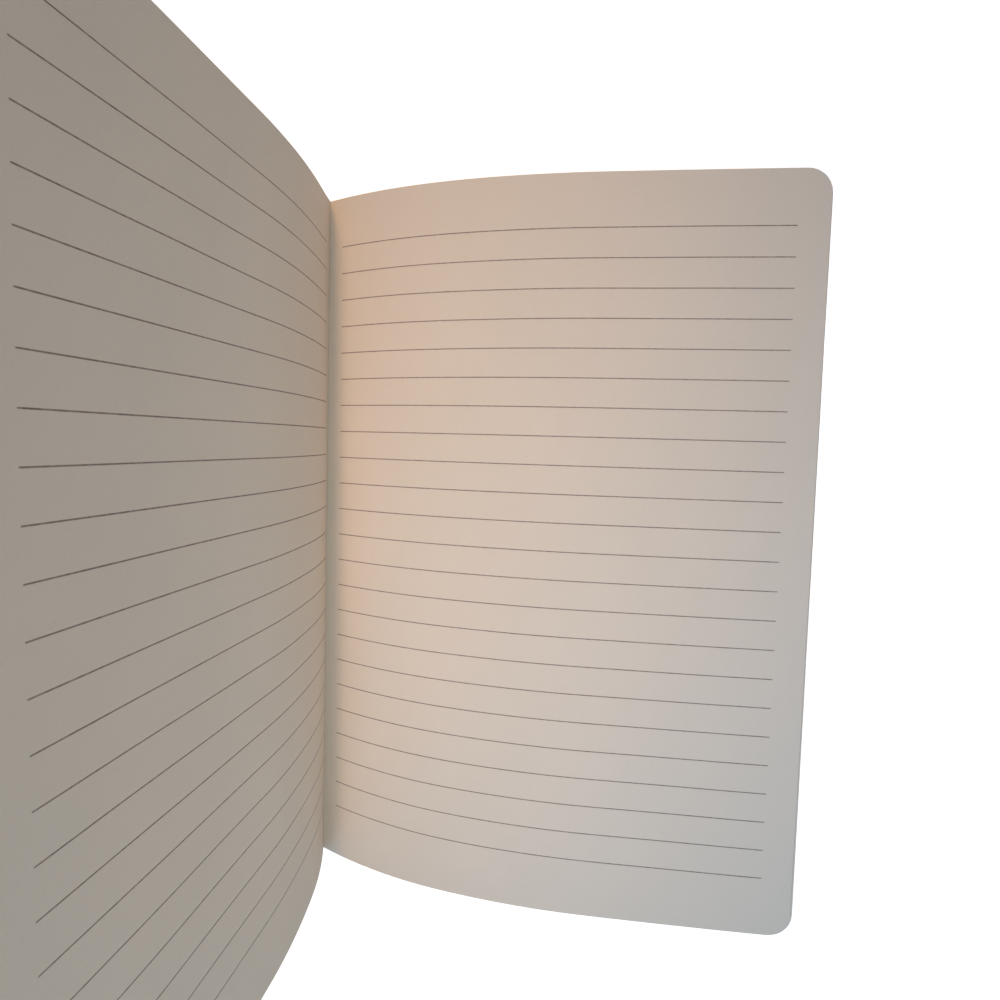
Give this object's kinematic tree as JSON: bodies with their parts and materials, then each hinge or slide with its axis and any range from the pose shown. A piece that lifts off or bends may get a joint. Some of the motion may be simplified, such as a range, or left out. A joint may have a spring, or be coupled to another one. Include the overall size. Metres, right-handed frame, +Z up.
{
  "type": "composition notebook",
  "caption": "Ruled composition notebook lying on its back cover, held open with the front half of the leaves and cover raised.",
  "frame": {"origin": "middle of the back cover's underside, on the table", "axes": "+Z up from the table, +Y up the page along the spine, +X from the gutter to the right-hand page's fore-edge"},
  "size_m": [0.152, 0.21, 0.1537],
  "materials": {
    "page_paper": "matte",
    "cover_card": "satin",
    "tape_cloth": "matte",
    "binding_glue": "satin"
  },
  "bodies": {
    "back_board": {"back_cover": "cover_card"},
    "block": {"pages": "page_paper", "spine_glue": "binding_glue", "spine_tape": "tape_cloth"},
    "front_board": {"front_cover": "cover_card"}
  },
  "joints": [
    {"name": "back_cover_hinge", "type": "hinge", "parent": "back_board", "child": "block", "pos_m": [-0.07455, 0, 0.00015], "axis": [0, -1, 0], "range_deg": [0, 60], "deforming": ["spine_tape"]},
    {"name": "front_cover_hinge", "type": "hinge", "parent": "block", "child": "front_board", "pos_m": [-0.07799, 0, 0.00719], "axis": [0, -1, 0], "range_deg": [0, 100], "deforming": ["spine_tape"]}
  ]
}
